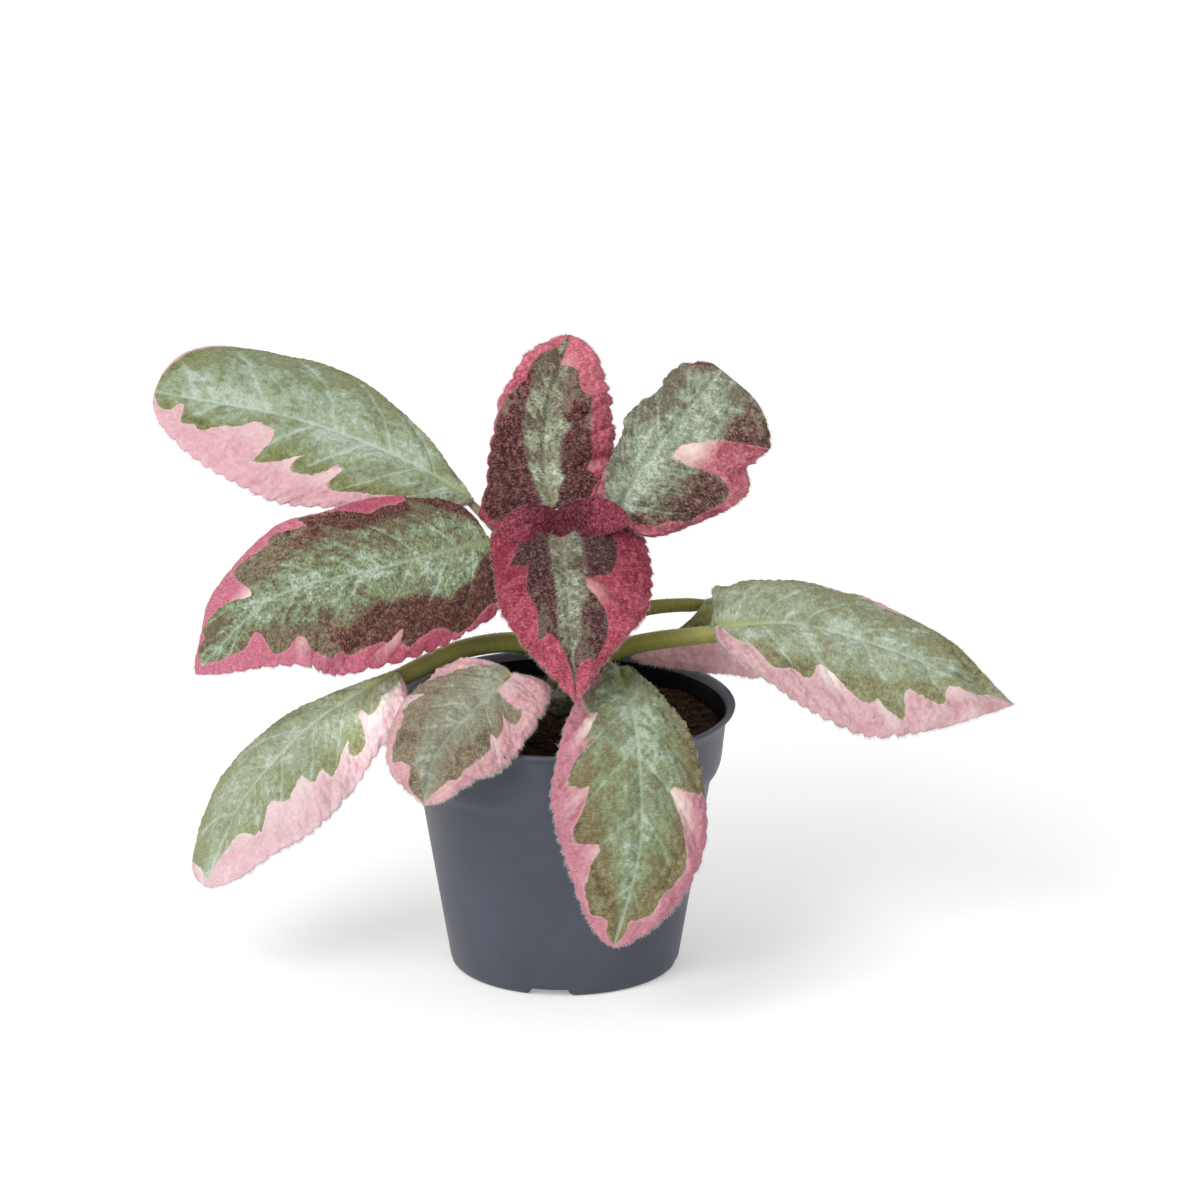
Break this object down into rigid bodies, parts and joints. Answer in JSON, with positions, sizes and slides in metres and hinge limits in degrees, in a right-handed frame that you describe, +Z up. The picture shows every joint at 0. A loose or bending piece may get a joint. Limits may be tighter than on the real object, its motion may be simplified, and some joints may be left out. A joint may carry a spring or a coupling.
{
  "type": "potted flame violet",
  "caption": "Potted flame violet: hairy, quilted, pink, maroon and silver-green variegated leaves on fleshy stalks around a short stem, in soil in a dark tapered plastic nursery pot.",
  "frame": {"origin": "middle of the pot's base, on the surface the pot stands on", "axes": "+Z up, -Y towards the front of the plant, +X to the right as seen from the front"},
  "size_m": [0.2641, 0.1564, 0.1883],
  "materials": {
    "pot": "satin",
    "soil": "matte",
    "stem": "matte",
    "stalk": "satin",
    "leaf_pale": "matte",
    "leaf_pink": "matte",
    "leaf_silver": "matte",
    "leaf_maroon": "matte",
    "leaf_crimson": "matte",
    "leaf_young": "matte"
  },
  "bodies": {
    "root": {"pot": "pot", "soil": "soil", "stem": "stem", "leaf_upper_left": "leaf_pale", "leaf_middle_left": "leaf_maroon", "leaf_top_back": "leaf_crimson", "leaf_front_center": "leaf_crimson", "leaf_upper_right": "leaf_silver", "leaf_lower_left": "leaf_pale", "leaf_front_left": "leaf_pale", "leaf_front_bottom": "leaf_pale", "leaf_lower_right": "leaf_pale", "leaf_right_rear": "leaf_pink", "stalk_upper_left": "stalk", "stalk_middle_left": "stalk", "stalk_top_back": "stalk", "stalk_front_center": "stalk", "stalk_upper_right": "stalk", "stalk_lower_left": "stalk", "stalk_front_left": "stalk", "stalk_front_bottom": "stalk", "stalk_lower_right": "stalk", "stalk_right_rear": "stalk", "young_leaf_left": "leaf_young", "young_leaf_right": "leaf_young"}
  },
  "joints": []
}
